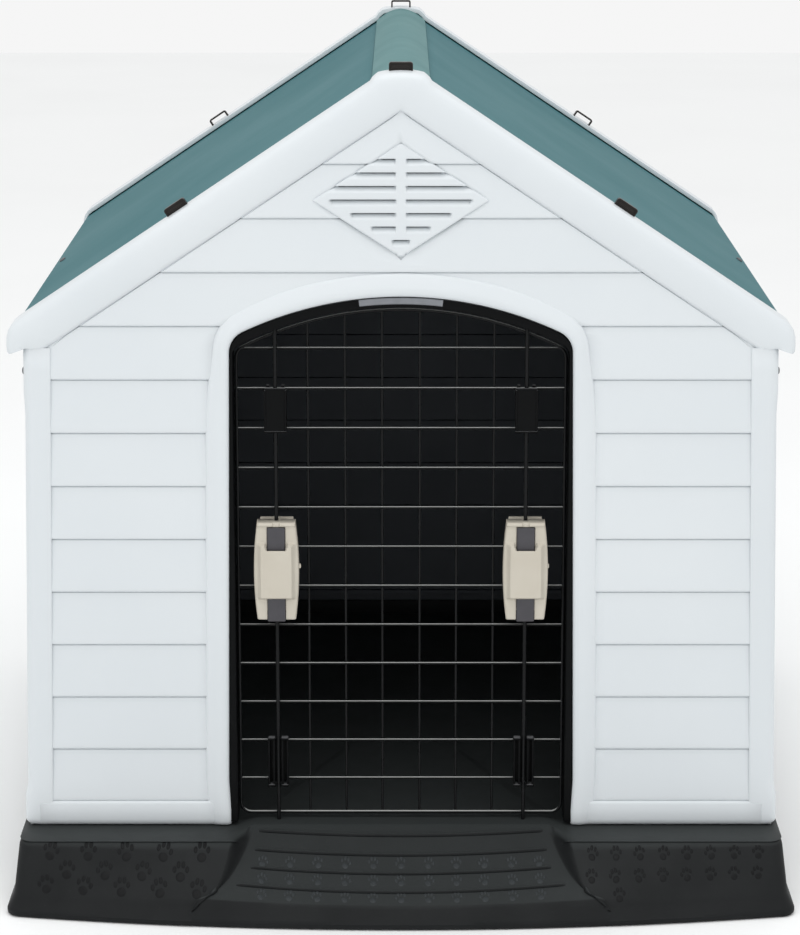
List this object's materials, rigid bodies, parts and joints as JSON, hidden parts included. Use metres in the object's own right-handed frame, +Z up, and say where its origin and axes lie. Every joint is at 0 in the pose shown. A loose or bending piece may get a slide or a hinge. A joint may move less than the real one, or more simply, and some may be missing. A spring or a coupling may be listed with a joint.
{
  "type": "dog house",
  "caption": "Gabled moulded-plastic dog house with lap-siding panels, a stepped base tray and an arched wire door held by two squeeze latches.",
  "frame": {"origin": "on the floor, under the middle of the base tray", "axes": "+X to the right as seen from the front, +Y towards the back, +Z up; the doorway faces -Y"},
  "size_m": [0.936, 1.05, 1.0014],
  "materials": {
    "base_plastic": "matte moulded, near black",
    "wall_plastic": "satin moulded, cool white",
    "roof_plastic": "satin moulded, grey teal",
    "cap_plastic": "satin moulded, lighter grey teal",
    "clip_plastic": "matte moulded, dark",
    "frame_plastic": "matte moulded, black",
    "tab_plastic": "matte moulded, dark grey",
    "guide_plastic": "matte moulded, black",
    "latch_plastic": "satin moulded, cream",
    "wire": "black powder-coated steel wire",
    "spring_steel": "bright spring steel",
    "screw_steel": "zinc-plated steel"
  },
  "bodies": {
    "house": {"base": "base_plastic", "front_wall": "wall_plastic", "back_wall": "wall_plastic", "left_wall": "wall_plastic", "right_wall": "wall_plastic", "roof_left": "roof_plastic", "roof_right": "roof_plastic", "ridge_cap": "cap_plastic", "roof_clips": "clip_plastic", "wall_screws": "screw_steel", "roof_screws": "screw_steel", "door_frame": "frame_plastic", "frame_tab": "tab_plastic"},
    "door": {"door_mesh": "wire", "latch_cover_left": "latch_plastic", "latch_back_left": "latch_plastic", "upper_guide_left": "guide_plastic", "lower_guide_left": "guide_plastic", "upper_spring_left": "spring_steel", "lower_spring_left": "spring_steel", "latch_cover_right": "latch_plastic", "latch_back_right": "latch_plastic", "upper_guide_right": "guide_plastic", "lower_guide_right": "guide_plastic", "upper_spring_right": "spring_steel", "lower_spring_right": "spring_steel", "latch_screws": "screw_steel"},
    "upper_bolt_left": {"upper_tab_left": "tab_plastic", "upper_rod_left": "wire"},
    "lower_bolt_left": {"lower_tab_left": "tab_plastic", "lower_rod_left": "wire"},
    "upper_bolt_right": {"upper_tab_right": "tab_plastic", "upper_rod_right": "wire"},
    "lower_bolt_right": {"lower_tab_right": "tab_plastic", "lower_rod_right": "wire"}
  },
  "joints": [
    {"name": "door_swing", "type": "hinge", "parent": "house", "child": "door", "pos_m": [0.148, -0.3807, 0.4], "axis": [0, 0, 1], "range_deg": [0, 105]},
    {"name": "upper_latch_left", "type": "slide", "parent": "door", "child": "upper_bolt_left", "axis": [0, 0, -1], "range_m": [0, 0.014], "stiffness_N_per_m": 400, "springref_m": -0.01, "deforming": ["upper_spring_left"]},
    {"name": "lower_latch_left", "type": "slide", "parent": "door", "child": "lower_bolt_left", "axis": [0, 0, 1], "range_m": [0, 0.014], "stiffness_N_per_m": 400, "springref_m": -0.01, "deforming": ["lower_spring_left"]},
    {"name": "upper_latch_right", "type": "slide", "parent": "door", "child": "upper_bolt_right", "axis": [0, 0, -1], "range_m": [0, 0.014], "stiffness_N_per_m": 400, "springref_m": -0.01, "deforming": ["upper_spring_right"]},
    {"name": "lower_latch_right", "type": "slide", "parent": "door", "child": "lower_bolt_right", "axis": [0, 0, 1], "range_m": [0, 0.014], "stiffness_N_per_m": 400, "springref_m": -0.01, "deforming": ["lower_spring_right"]}
  ]
}
